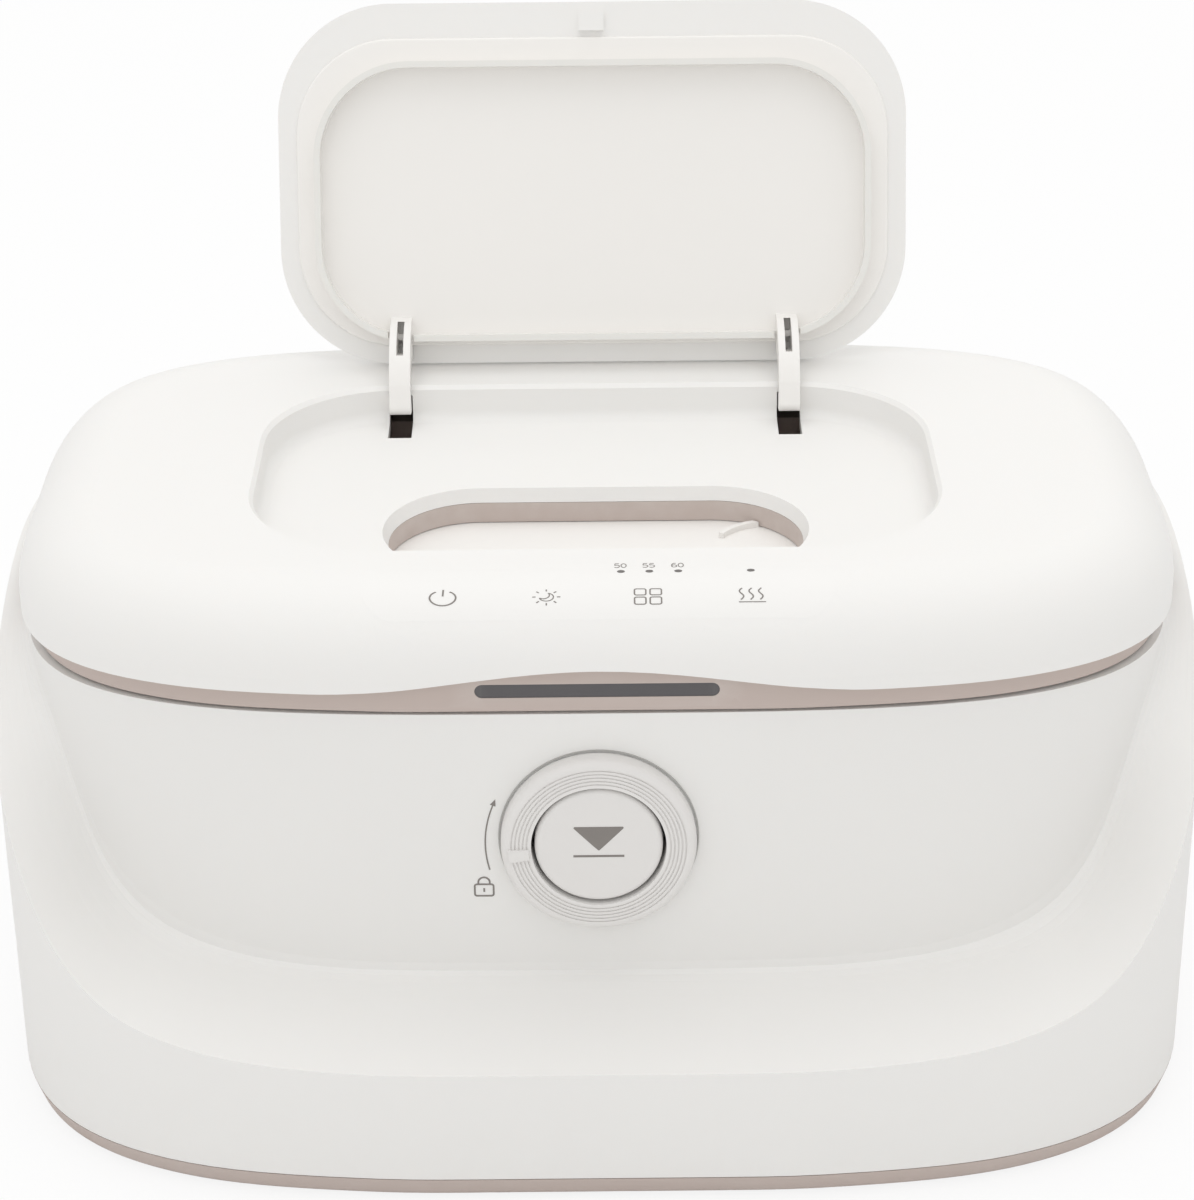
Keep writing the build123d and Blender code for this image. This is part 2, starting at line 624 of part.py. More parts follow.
def lid_top_shell():
    shape = lid_dome(0, lid_edge_z) - lid_dome(skin, lid_edge_z - 5)
    shape -= wave_cutter(90)
    tub = rounded_block(recess_x + 2 * skin, recess_y + 2 * skin, recess_corner + skin,
                        recess_centre_y, recess_floor_z - 3.0, lid_top_z - 0.5)
    tub = fillet(tub.edges().group_by(Axis.Z)[0], 3.0)
    recess = rounded_block(recess_x, recess_y, recess_corner, recess_centre_y,
                           recess_floor_z, lid_top_z + 5)
    recess = fillet(recess.edges().group_by(Axis.Z)[0], 2.4)
    shape += tub
    shape -= recess
    lip_low = Pos(0, recess_centre_y, lid_top_z - recess_lip) * \
        RectangleRounded(recess_x, recess_y, recess_corner)
    lip_high = Pos(0, recess_centre_y, lid_top_z + 0.01) * \
        RectangleRounded(recess_x + 2 * recess_lip, recess_y + 2 * recess_lip,
                         recess_corner + recess_lip)
    shape -= loft([lip_low.face(), lip_high.face()], ruled=True)
    mouth_wide = Pos(0, mouth_centre_y, recess_floor_z + 0.01) * SlotOverall(mouth_x, mouth_y)
    mouth_tight = Pos(0, mouth_centre_y, recess_floor_z - 3.01) * SlotOverall(mouth_x - 2.4,
                                                                             mouth_y - 2.4)
    shape -= loft([mouth_wide.face(), mouth_tight.face()], ruled=True)
    shape -= arm_slot(back=recess_centre_y + recess_y / 2 + skin + 0.1)

    for side in (-1, 1):                                     # cheeks that carry the flip pins
        for reach in (-4.6, 4.6):
            middle = side * arm_x + reach
            cheek = box(middle - 1.1, middle + 1.1, lid_y + 38.5, lid_y + 48.0, 113.5, 121.5)
            shape += cheek
    shape -= mirrored(rod_x(flip_pivot_y, flip_pivot_z, 1.25, arm_x - 6.2, arm_x + 6.2))
    for x, y in lid_screw_places:
        boss = mirrored(post(x, y, 3.6, 108.75, 121.5)) & lid_dome(1.0, 100)
        shape += boss
        shape -= mirrored(post(x, y, 1.3, 100, 118))
    for x in (-42.5, 42.5):                                  # bosses of the touch board
        boss = tilted(post(x, 0, 2.8, 0.7, 9.0)) & lid_dome(1.0, 100)
        shape += boss
        shape -= tilted(post(x, 0, 1.0, 0, 4.0))
    shape -= touch_outline() - lid_dome(0.7, 100)            # bed of the touch strip
    catch = box(-3.1, 3.1, recess_centre_y - recess_y / 2 - 1.6,
                recess_centre_y - recess_y / 2 + 0.45, lid_top_z - 1.6, lid_top_z - 0.9)
    return shape + catch


def touch_strip():
    return (touch_outline() & lid_dome(0, 100)) - lid_dome(0.7, 99)


def touch_board():
    shape = tilted(box(-47, 47, -6.2, 6.2, -0.6, 0.6))
    for x in (-42.5, 42.5):
        shape -= tilted(post(x, 0, 1.25, -2, 2))
    for x in (-22.0, -16.0, 20.0, 24.0):
        shape += tilted(box(x - 1.0, x + 1.0, -2.5, -1.0, -1.5, -0.6))
    return shape


def touch_pads():
    # soft conductive cushions between the board and the underside of each key
    shapes = []
    for x in key_places:
        shapes.append(tilted(post(x, -0.5, 2.8, 0.6, 9.0)) & lid_dome(skin, 100))
    return Compound(children=shapes)


def touch_screws():
    return Compound(children=[tilted(screw(x, 0, -2.0, 3.0, head_up=False, shank_r=0.95,
                                           head_r=2.0, head_height=1.4))
                              for x in (-42.5, 42.5)])


# ---------------------------------------------------------------- lid, taupe bottom shell
band_low_z = 97.2
plate_low, plate_high = 106.7, 108.7
window_z = 102.1
window_x, window_height = 50.0, 3.1
window_seat_y = lid_y - 69.4
striker_y = -52.5


def band_block(inset, low, high):
    return oval_block(122.3 - inset, 71.6 - inset, lid_power, lid_y, low, high)


def lid_bottom_shell():
    shape = band_block(0, band_low_z, plate_high)
    shape = fillet(shape.edges().group_by(Axis.Z)[0], 0.7)
    shape -= band_block(2.0, band_low_z - 1, plate_low)
    # wall around the dispensing opening
    collar = Pos(0, mouth_centre_y, plate_low) * SlotOverall(mouth_x + 1.2, mouth_y + 1.2)
    shape += extrude(collar, amount=recess_floor_z - 3.1 - plate_low)
    mouth = Pos(0, mouth_centre_y, plate_low - 5) * SlotOverall(mouth_x - 2.4, mouth_y - 2.4)
    shape -= extrude(mouth, amount=20)
    # inner skirt that carries the gasket
    skirt = oval_block(113.5, 60.1, tank_power, tank_y, 98.8, plate_low + 0.5)
    skirt -= oval_block(111.9, 58.5, tank_power, tank_y, 98, plate_low + 1)
    shape += skirt
    # pockets the flip arms swing down into
    for side in (-1, 1):
        middle = side * arm_x
        shape += box(middle - 4.7, middle + 4.7, lid_y + 25.5, lid_y + 51.0, 102.6, plate_high)
    shape -= arm_slot(low=104.2, high=plate_high + 1, back=lid_y + 49.4, extra=0.6)
    # housing behind the light window, open towards the inside of the lid
    shape += box(-31.5, 31.5, lid_y - 69.8, lid_y - 60.0, 97.9, plate_high)
    shape -= box(-30.0, 30.0, window_seat_y, lid_y - 61.5, 99.4, plate_high + 1)
    window = Plane(origin=(0, lid_y - 68, window_z), x_dir=(1, 0, 0), z_dir=(0, -1, 0)) * \
        SlotOverall(window_x, window_height)
    shape -= extrude(window, amount=6)
    # striker the latch holds: a tongue with a lip turned backwards
    shape += box(-7.0, 7.0, striker_y, striker_y + 2.0, 88.4, 98.2)
    lip_outline = Polyline((striker_y + 1, 88.4), (striker_y + 2.6, 88.4), (striker_y + 4.2, 89.8),
                           (striker_y + 4.2, 90.7), (striker_y + 1, 90.7), close=True)
    shape += extrude(Plane.YZ * make_face(lip_outline), amount=7, both=True)
    for x in (-5.6, 5.6):
        shape += box(x - 0.8, x + 0.8, striker_y - 0.2, striker_y + 5.0, 94.4, 98.2)
    for x, y in lid_screw_places:
        shape -= mirrored(post(x, y, 1.45, 100, 112))
    for x, y in wipe_screw_places:
        shape += post(x, y, 2.6, plate_low, plate_high + 2.6) - post(x, y, 1.2, plate_low, plate_high + 1.6)
        shape -= post(x, y, 1.2, plate_low - 1, plate_high + 1.6)
    # knuckles that turn on the hinge pins at the back
    for side in (-1, 1):
        middle = side * hinge_x
        arm = box(middle - 6.0, middle + 8.0, lid_y + 69.4, hinge_y, hinge_z - 0.4, hinge_z + 3.6)
        knuckle = rod_x(hinge_y, hinge_z, 3.9, middle - 6.0, middle + 8.0)
        shape += arm + knuckle
        shape -= rod_x(hinge_y, hinge_z, hinge_pin_r + running_gap, middle - 12, middle + 12)
    return shape


def light_window():
    plane = Plane(origin=(0, window_seat_y, window_z), x_dir=(1, 0, 0), z_dir=(0, -1, 0))
    lens = extrude(plane * SlotOverall(window_x, window_height), amount=4) & \
        band_block(0.15, 90, 110)
    back = plane * SlotOverall(window_x + 2.0, window_height + 1.4)
    return lens + extrude(back, amount=-0.8)


def light_guide():
    return box(-24.0, 24.0, window_seat_y + 0.8, lid_y - 65.7, window_z - 1.4, window_z + 1.4)


def light_board():
    shape = box(-29.0, 29.0, lid_y - 64.7, lid_y - 63.7, 99.5, 105.5)
    for step in range(6):
        x = -20 + 8 * step
        shape += box(x - 1.4, x + 1.4, lid_y - 65.6, lid_y - 64.6, window_z - 0.8, window_z + 0.8)
    return shape


def lid_gasket():
    shape = oval_block(114.1, 60.7, tank_power, tank_y, 96.6, 98.8)
    return shape - oval_block(111.3, 57.9, tank_power, tank_y, 96, 99)


def lid_screws():
    return Compound(children=[screw(side * x, y, plate_low - 1.5, 8.0, head_up=False,
                                    shank_r=1.25, head_r=2.6)
                              for x, y in lid_screw_places for side in (-1, 1)])


wipe_screw_places = [(-54.0, lid_y + 2.0), (54.0, lid_y + 2.0),
                     (-50.0, lid_y - 44.0), (50.0, lid_y - 44.0)]
wipe_plate_low, wipe_plate_high = 104.9, 106.5


def wipe_plate():
    # plate under the opening with the slot the wipes are drawn through
    shape = Pos(0, mouth_centre_y + 0.5, wipe_plate_low) * RectangleRounded(120, 60, 16)
    shape = extrude(shape, amount=wipe_plate_high - wipe_plate_low)
    slot = Pos(0, lid_y - 27.0, wipe_plate_low - 1) * SlotOverall(62, 9)
    lobe = Pos(0, lid_y - 27.0, wipe_plate_low - 1) * Circle(8.5)
    shape -= extrude(slot, amount=5) + extrude(lobe, amount=5)
    for x, y in wipe_screw_places:
        shape -= post(x, y, 1.45, 100, 110)
    centre = (39.0, lid_y - 18.0)
    rib = post(*centre, 14.4, wipe_plate_high - 0.2, wipe_plate_high + 1.3)
    rib -= post(*centre, 13.2, 100, 110)
    within = Pos(0, mouth_centre_y, 100) * SlotOverall(mouth_x - 3.2, mouth_y - 3.2)
    sides = Polyline(centre, (centre[0] - 26, centre[1] + 17), (centre[0] + 12, centre[1] + 34),
                     close=True)
    rib &= extrude(Pos(0, 0, 100) * make_face(sides), amount=12)
    return shape + (rib & extrude(within, amount=12))


def wipe_plate_screws():
    return Compound(children=[screw(x, y, wipe_plate_low - 1.3, 4.6, head_up=False, shank_r=1.15,
                                    head_r=2.3, head_height=1.3) for x, y in wipe_screw_places])


# ---------------------------------------------------------------- flip lid, drawn closed
# and then swung open about its pivot.
closed_back_y = recess_centre_y + flip_y / 2 - 0.05
flange_low = lid_top_z - 1.6
liner_low = flange_low - 1.0
liner_x, liner_y = 136.8, 70.6
liner_centre_y = recess_centre_y + 1.9
rib_x, rib_y = 128.2, 64.1


def swung_open(shape):
    return shape.rotate(Axis((0, flip_pivot_y, flip_pivot_z), (1, 0, 0)), -flip_open_deg)


def flip_cover():
    shape = rounded_block(flip_x, flip_y, flip_corner, recess_centre_y, flange_low, lid_top_z)
    shape = fillet(shape.edges().group_by(Axis.Z)[-1], 1.1)
    bed = rounded_block(liner_x, liner_y, flip_corner - 4, liner_centre_y, flange_low - 1,
                        flange_low + 0.6)
    shape -= bed
    shape += box(-2.9, 2.9, closed_back_y - 80.2, closed_back_y - 76.2, flange_low - 1.5,
                 flange_low + 0.3)
    return swung_open(shape)


def flip_arm(middle):
    # gooseneck arm: it reaches round the bridge over its slot and back to the pin
    pivot = (flip_pivot_y, flip_pivot_z)

    def at(y, z):
        return pivot[0] + y, pivot[1] + z

    top = liner_low - flip_pivot_z + 0.3
    throat_r = 9.0
    throat_start = atan2(top, -sqrt(throat_r ** 2 - top ** 2))
    throat_end = radians(264)
    throat_middle = (throat_start + throat_end) / 2
    inner = [at(throat_r * cos(turn), throat_r * sin(turn))
             for turn in (throat_start, throat_middle, throat_end)]
    outline = [
        ThreePointArc(*inner),
        Line(inner[2], at(-0.4, -3.0)),
        Line(at(-0.4, -3.0), at(0, 0)),
        Line(at(0, 0), at(2.6, 0)),
        Line(at(2.6, 0), at(3.3, -10.2)),
        ThreePointArc(at(3.3, -10.2), at(2.6, -11.1), at(1.4, -11.4)),
        Line(at(1.4, -11.4), at(-3.4, -11.4)),
        ThreePointArc(at(-3.4, -11.4), at(-12.2, -8.0), at(-17.4, -1.0)),
        Line(at(-17.4, -1.0), at(-18.4, top)),
        Line(at(-18.4, top), inner[0]),
    ]
    face = make_face(Wire([edge for piece in outline for edge in piece.edges()]))
    plate = extrude(Plane.YZ.offset(middle - arm_width / 2) * face, amount=arm_width)
    plate += rod_x(*pivot, 2.6, middle - arm_width / 2, middle + arm_width / 2)
    fork = box(middle - 0.8, middle + 0.8, flip_pivot_y - 17.5, flip_pivot_y - 10.2,
               flip_pivot_z - 12, flip_pivot_z + 3.6)
    plate -= fork
    return plate - rod_x(*pivot, 1.25 + running_gap, middle - 5, middle + 5)


def flip_liner():
    shape = rounded_block(liner_x, liner_y, flip_corner - 4, liner_centre_y, liner_low,
                          flange_low + 0.6)
    shape = fillet(shape.edges().group_by(Axis.Z)[0], 0.5)
    rib_centre_y = closed_back_y - 5.4 - rib_y / 2
    for size_x, size_y, corner, sign in ((rib_x, rib_y, 22, 1), (rib_x - 2.8, rib_y - 2.8, 20.6, -1)):
        block = rounded_block(size_x, size_y, corner, rib_centre_y, liner_low - 2.6, liner_low + 0.2)
        rib = block if sign > 0 else rib - block
    shape += rib
    for side in (-1, 1):
        shape += flip_arm(side * arm_x)
    return swung_open(shape)


def flip_seal():
    # soft lip on the liner's rib
    rib_centre_y = closed_back_y - 5.4 - rib_y / 2
    shape = rounded_block(rib_x, rib_y, 22, rib_centre_y, recess_floor_z + 0.5, liner_low - 2.6)
    shape -= rounded_block(rib_x - 2.8, rib_y - 2.8, 20.6, rib_centre_y, 110, 121)
    for side in (-1, 1):
        shape -= box(side * arm_x - 3.0, side * arm_x + 3.0, lid_y + 20, lid_y + 40, 110, 121)
    return swung_open(shape)


def flip_pins():
    return Compound(children=[rod_x(flip_pivot_y, flip_pivot_z, 1.25, side * arm_x - 5.9,
                                    side * arm_x + 5.9) for side in (-1, 1)])


def hinge_pins():
    return Compound(children=[rod_x(hinge_y, hinge_z, hinge_pin_r, side * hinge_x - 16.0,
                                    side * hinge_x + 16.0) for side in (-1, 1)])


def hinge_springs():
    shapes = []
    for side in (-1, 1):
        coil = helix_spring(2.6, 0.45, 3.9, 3.5)
        coil = Pos(side * hinge_x - 10.5, hinge_y, hinge_z) * Rot(0, 90, 0) * coil
        shapes.append(coil)
    return Compound(children=shapes)


# ---------------------------------------------------------------- one file per piece
makers = [
    base_pan, rubber_feet, base_screws, body_shell, inner_tank, tank_screws,
    heater_plate, heater_film, insulation_pad, temperature_sensor, thermal_fuse,
    main_board, board_parts, board_screws, dc_jack, supply_wires, heater_wires,
    lock_ring, push_button, button_spring, latch_housing, latch_screws,
    latch_lever, latch_pin, latch_spring, hinge_pins, hinge_springs,
    lid_top_shell, lid_bottom_shell, lid_gasket, lid_screws,
    touch_strip, touch_board, touch_pads, touch_screws,
    light_window, light_guide, light_board, wipe_plate, wipe_plate_screws,
    flip_cover, flip_liner, flip_seal, flip_pins,
]

for maker in makers:
    export_step(maker(), f"parts/{maker.__name__}.step")
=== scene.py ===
import bmesh
import bpy
import numpy as np
from mathutils import Matrix


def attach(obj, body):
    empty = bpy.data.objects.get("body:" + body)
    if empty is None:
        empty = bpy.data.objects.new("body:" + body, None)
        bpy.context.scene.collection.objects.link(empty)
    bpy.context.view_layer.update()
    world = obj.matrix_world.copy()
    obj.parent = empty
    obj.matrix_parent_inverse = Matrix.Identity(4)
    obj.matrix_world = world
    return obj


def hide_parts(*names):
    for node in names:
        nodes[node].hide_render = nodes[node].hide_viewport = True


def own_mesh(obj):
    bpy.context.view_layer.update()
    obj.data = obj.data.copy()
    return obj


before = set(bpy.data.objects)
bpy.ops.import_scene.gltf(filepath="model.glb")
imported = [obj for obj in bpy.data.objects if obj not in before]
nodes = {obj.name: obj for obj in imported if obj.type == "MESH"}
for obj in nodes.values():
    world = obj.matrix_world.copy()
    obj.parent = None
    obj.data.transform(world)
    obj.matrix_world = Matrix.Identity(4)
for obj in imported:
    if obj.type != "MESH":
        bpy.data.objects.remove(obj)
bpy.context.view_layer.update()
print("frame loaded:", len(nodes), "nodes")

mm = 0.001                       # sizes and places below are in millimetres, angles in degrees

# ---- camera: set from its own angles, looking down on the lid from the front
cameraFacts = dict(aim=(0.073, 12.3, 86.182), distance=731.87, pitch=27.083, yaw=-0.079, roll=-0.608,
                   lens=97.415, sensor=36.0, near=20.0, far=40000.0)


def makeCamera(facts):
    # the axes come from turning "ahead" by yaw and pitch, then rolling right and up about it
    pitch, yaw, roll = np.radians([facts["pitch"], facts["yaw"], facts["roll"]])
    ahead = np.array([np.sin(yaw) * np.cos(pitch), np.cos(yaw) * np.cos(pitch), -np.sin(pitch)])
    level = np.array([np.cos(yaw), -np.sin(yaw), 0.0])
    upright = np.cross(level, ahead)
    right = level * np.cos(roll) + upright * np.sin(roll)
    up = upright * np.cos(roll) - level * np.sin(roll)
    place = (np.array(facts["aim"]) - ahead * facts["distance"]) * mm
    data = bpy.data.cameras.new("viewCamera")
    data.sensor_width = facts["sensor"]
    data.lens = facts["lens"]
    data.clip_start, data.clip_end = facts["near"] * mm, facts["far"] * mm
    data.dof.use_dof = False
    camera = bpy.data.objects.new("viewCamera", data)
    matrix = np.eye(4)
    matrix[:3, 0], matrix[:3, 1], matrix[:3, 2], matrix[:3, 3] = right, up, -ahead, place
    camera.matrix_world = Matrix(matrix.tolist())
    bpy.context.scene.collection.objects.link(camera)
    bpy.context.scene.camera = camera


makeCamera(cameraFacts)
print("camera set")

# ---- meshes worked out with numpy


def meshObject(name, points, faces, smooth=True):
    mesh = bpy.data.meshes.new(name)
    mesh.from_pydata((np.asarray(points, float) * mm).tolist(), [], faces)
    mesh.validate()
    mesh.polygons.foreach_set("use_smooth", np.full(len(mesh.polygons), smooth))
    mesh.update()
    piece = bpy.data.objects.new(name, mesh)
    bpy.context.scene.collection.objects.link(piece)
    return piece


def gridFaces(rows, columns, closeRows=False, closeColumns=False, start=0):
    # four corners of each cell of a grid of points stored row after row, counted from the start
    row = np.arange(rows if closeRows else rows - 1)
    column = np.arange(columns if closeColumns else columns - 1)
    r, c = np.meshgrid(row, column, indexing="ij")
    r2, c2 = (r + 1) % rows, (c + 1) % columns
    cells = np.stack([r * columns + c, r * columns + c2, r2 * columns + c2, r2 * columns + c], -1)
    return (cells.reshape(-1, 4) + start).tolist()


# ---- small helpers for shader nodes


def newGroup(name, inputs, outputs):
    group = bpy.data.node_groups.new(name, "ShaderNodeTree")
    for socketName, kind, value in inputs:
        socket = group.interface.new_socket(socketName, in_out="INPUT", socket_type=kind)
        socket.default_value = value
    for socketName, kind in outputs:
        group.interface.new_socket(socketName, in_out="OUTPUT", socket_type=kind)
    return group, group.nodes.new("NodeGroupInput"), group.nodes.new("NodeGroupOutput")


def feed(tree, socket, value):
    # another node's output is linked, a plain value is set
    if isinstance(value, bpy.types.NodeSocket):
        tree.links.new(value, socket)
    else:
        socket.default_value = value


def mathNode(tree, operation, a, b, clamp=False):
    node = tree.nodes.new("ShaderNodeMath")
    node.operation, node.use_clamp = operation, clamp
    feed(tree, node.inputs[0], a)
    feed(tree, node.inputs[1], b)
    return node.outputs[0]


def noiseNode(tree, place, scale, detail):
    node = tree.nodes.new("ShaderNodeTexNoise")
    feed(tree, node.inputs["Vector"], place)
    feed(tree, node.inputs["Scale"], scale)
    feed(tree, node.inputs["Detail"], detail)
    return node.outputs["Fac"]


def rangeNode(tree, value, low, high):
    # 0 at the low end, 1 at the high end, straight between them and held beyond
    node = tree.nodes.new("ShaderNodeMapRange")
    feed(tree, node.inputs["From Min"], low)
    feed(tree, node.inputs["From Max"], high)
    feed(tree, node.inputs["Value"], value)
    return node.outputs["Result"]


def blendNode(tree, share, first, second):
    # the first colour, going over to the second by the share
    node = tree.nodes.new("ShaderNodeMix")
    node.data_type = "RGBA"
    feed(tree, node.inputs["Factor"], share)
    feed(tree, node.inputs["A"], first)
    feed(tree, node.inputs["B"], second)
    return node.outputs["Result"]


def scaleNode(tree, colour, level):
    # a colour made lighter or darker
    node = tree.nodes.new("ShaderNodeVectorMath")
    node.operation = "SCALE"
    feed(tree, node.inputs[0], colour)
    feed(tree, node.inputs["Scale"], level)
    return node.outputs[0]


def objectPlace(tree):
    return tree.nodes.new("ShaderNodeTexCoord").outputs["Object"]


# ---- shared shader groups, which read positions in metres
realKind, colourKind, vectorKind = "NodeSocketFloat", "NodeSocketColor", "NodeSocketVector"
mouldFacts = dict(fineDetail=3.0, slowScale=14.0, slowDetail=2.0)
handlingFacts = dict(spotScale=260.0, spotDetail=4.0, edgeFrom=0.52, edgeTo=0.62, dustTop=30.0, matt=0.3)
drawnFacts = dict(detail=3.0, tint=0.16)


def makeMouldGrain(facts):
    # spark-eroded plastic: fine grain, slow ripple of the moulding, and a slow drift of colour
    group, taken, given = newGroup("mouldGrain", [
        ("Colour", colourKind, (0.8, 0.8, 0.8, 1)), ("Drift", realKind, 0.02),
        ("Grain Scale", realKind, 2200.0), ("Roughness", realKind, 0.42),
        ("Roughness Spread", realKind, 0.08), ("Ripple", realKind, 0.25)],
        [("Colour", colourKind), ("Roughness", realKind), ("Height", realKind)])
    place = objectPlace(group)
    fine = noiseNode(group, place, taken.outputs["Grain Scale"], facts["fineDetail"])
    slow = noiseNode(group, place, facts["slowScale"], facts["slowDetail"])
    drift = mathNode(group, "MULTIPLY", mathNode(group, "SUBTRACT", slow, 0.5), taken.outputs["Drift"])
    level = mathNode(group, "ADD", drift, 1.0)
    feed(group, given.inputs["Colour"], scaleNode(group, taken.outputs["Colour"], level))
    spread = mathNode(group, "MULTIPLY", mathNode(group, "SUBTRACT", fine, 0.5),
                      taken.outputs["Roughness Spread"])
    feed(group, given.inputs["Roughness"], mathNode(group, "ADD", taken.outputs["Roughness"], spread, True))
    ripple = mathNode(group, "MULTIPLY", slow, taken.outputs["Ripple"])
    feed(group, given.inputs["Height"], mathNode(group, "ADD", fine, ripple))
    return group


def makeHandling(facts):
    # what use leaves behind: small rubbed spots on edges and a thin haze of dust low down
    group, taken, given = newGroup("handling", [
        ("Colour", colourKind, (0.8, 0.8, 0.8, 1)), ("Roughness", realKind, 0.4), ("Wear", realKind, 0.3),
        ("Worn Colour", colourKind, (0.95, 0.95, 0.93, 1)), ("Dust", realKind, 0.05),
        ("Dust Colour", colourKind, (0.62, 0.59, 0.55, 1))],
        [("Colour", colourKind), ("Roughness", realKind)])
    place = objectPlace(group)
    spots = noiseNode(group, place, facts["spotScale"], facts["spotDetail"])
    pointiness = group.nodes.new("ShaderNodeNewGeometry").outputs["Pointiness"]
    edge = rangeNode(group, pointiness, facts["edgeFrom"], facts["edgeTo"])
    rubbed = mathNode(group, "MULTIPLY", edge, spots)
    worn = mathNode(group, "MULTIPLY", rubbed, taken.outputs["Wear"], True)
    rubbedColour = blendNode(group, worn, taken.outputs["Colour"], taken.outputs["Worn Colour"])
    apart = group.nodes.new("ShaderNodeSeparateXYZ")
    feed(group, apart.inputs[0], place)
    low = rangeNode(group, apart.outputs["Z"], facts["dustTop"] * mm, 0.0)
    settled = mathNode(group, "MULTIPLY", low, spots)
    dusty = mathNode(group, "MULTIPLY", settled, taken.outputs["Dust"], True)
    feed(group, given.inputs["Colour"], blendNode(group, dusty, rubbedColour, taken.outputs["Dust Colour"]))
    matt = mathNode(group, "MULTIPLY", dusty, facts["matt"])
    feed(group, given.inputs["Roughness"], mathNode(group, "ADD", taken.outputs["Roughness"], matt, True))
    return group


def makeDrawnMetal(facts):
    # fine parallel lines left by rolling or drawing, along one axis of the piece
    group, taken, given = newGroup("drawnMetal", [
        ("Colour", colourKind, (0.6, 0.6, 0.6, 1)), ("Stretch", vectorKind, (40, 900, 900)),
        ("Roughness", realKind, 0.28), ("Roughness Spread", realKind, 0.18)],
        [("Colour", colourKind), ("Roughness", realKind), ("Height", realKind)])
    pull = group.nodes.new("ShaderNodeVectorMath")
    pull.operation = "MULTIPLY"
    feed(group, pull.inputs[0], objectPlace(group))
    feed(group, pull.inputs[1], taken.outputs["Stretch"])
    lines = noiseNode(group, pull.outputs[0], 1.0, facts["detail"])
    swing = mathNode(group, "SUBTRACT", lines, 0.5)
    level = mathNode(group, "ADD", mathNode(group, "MULTIPLY", swing, facts["tint"]), 1.0)
    feed(group, given.inputs["Colour"], scaleNode(group, taken.outputs["Colour"], level))
    spread = mathNode(group, "MULTIPLY", swing, taken.outputs["Roughness Spread"])
    feed(group, given.inputs["Roughness"], mathNode(group, "ADD", taken.outputs["Roughness"], spread, True))
    feed(group, given.inputs["Height"], lines)
    return group


mouldGrain, handling = makeMouldGrain(mouldFacts), makeHandling(handlingFacts)
drawnMetal = makeDrawnMetal(drawnFacts)
print("shader groups built")

# ---- materials: what a finish doesn't say for itself comes from these usual values
plasticUsual = dict(drift=0.02, grainScale=2200.0, spread=0.08, ripple=0.25, wear=0.25, dust=0.1,
                    worn=(0.9, 0.9, 0.88, 1), bump=0.12, bumpDepth=0.04, specular=0.4, coat=0.0,
                    coatRoughness=0.2, depth=0.0, scatter=(4.0, 3.5, 3.0))
metalUsual = dict(stretch=(40, 900, 900), spread=0.18, bump=0.15, bumpDepth=0.02)


def srgb(r, g, b):
    # screen values 0..255 turned into linear light
    value = np.array([r, g, b]) / 255.0
    linear = np.where(value <= 0.04045, value / 12.92, ((value + 0.055) / 1.055) ** 2.4)
    return (*linear.tolist(), 1.0)


def placeGroup(tree, group, values):
    node = tree.nodes.new("ShaderNodeGroup")
    node.node_tree = group
    for name, value in values.items():
        node.inputs[name].default_value = value
    return node


def newMaterial(name):
    material = bpy.data.materials.new(name)
    material.use_nodes = True
    tree = material.node_tree
    return material, tree, tree.nodes["Principled BSDF"]


def roughen(tree, shader, height, facts):
    # a small bump from the height
    bump = tree.nodes.new("ShaderNodeBump")
    bump.inputs["Strength"].default_value = facts["bump"]
    bump.inputs["Distance"].default_value = facts["bumpDepth"] * mm
    tree.links.new(height, bump.inputs["Height"])
    tree.links.new(bump.outputs["Normal"], shader.inputs["Normal"])


def mouldedPlastic(name, ownFacts):
    # injection moulded plastic: grain and drift, handling, then a small bump
    facts = {**plasticUsual, **ownFacts}
    material, tree, shader = newMaterial(name)
    grain = placeGroup(tree, mouldGrain, {
        "Colour": srgb(*facts["colour"]), "Drift": facts["drift"], "Grain Scale": facts["grainScale"],
        "Roughness": facts["roughness"], "Roughness Spread": facts["spread"], "Ripple": facts["ripple"]})
    used = placeGroup(tree, handling, {
        "Wear": facts["wear"], "Dust": facts["dust"], "Worn Colour": facts["worn"]})
    for socket in ("Colour", "Roughness"):
        tree.links.new(grain.outputs[socket], used.inputs[socket])
    tree.links.new(used.outputs["Colour"], shader.inputs["Base Color"])
    tree.links.new(used.outputs["Roughness"], shader.inputs["Roughness"])
    roughen(tree, shader, grain.outputs["Height"], facts)
    shader.inputs["Specular IOR Level"].default_value = facts["specular"]
    shader.inputs["Coat Weight"].default_value = facts["coat"]
    shader.inputs["Coat Roughness"].default_value = facts["coatRoughness"]
    shader.inputs["Subsurface Weight"].default_value = facts["depth"]
    shader.inputs["Subsurface Radius"].default_value = [reach * mm for reach in facts["scatter"]]
    return material


def drawnPart(name, ownFacts):
    # bare metal with the lines of its drawing
    facts = {**metalUsual, **ownFacts}
    material, tree, shader = newMaterial(name)
    lines = placeGroup(tree, drawnMetal, {
        "Colour": srgb(*facts["colour"]), "Stretch": facts["stretch"], "Roughness": facts["roughness"],
        "Roughness Spread": facts["spread"]})
    tree.links.new(lines.outputs["Colour"], shader.inputs["Base Color"])
    tree.links.new(lines.outputs["Roughness"], shader.inputs["Roughness"])
    roughen(tree, shader, lines.outputs["Height"], facts)
    shader.inputs["Metallic"].default_value = 1.0
    return material


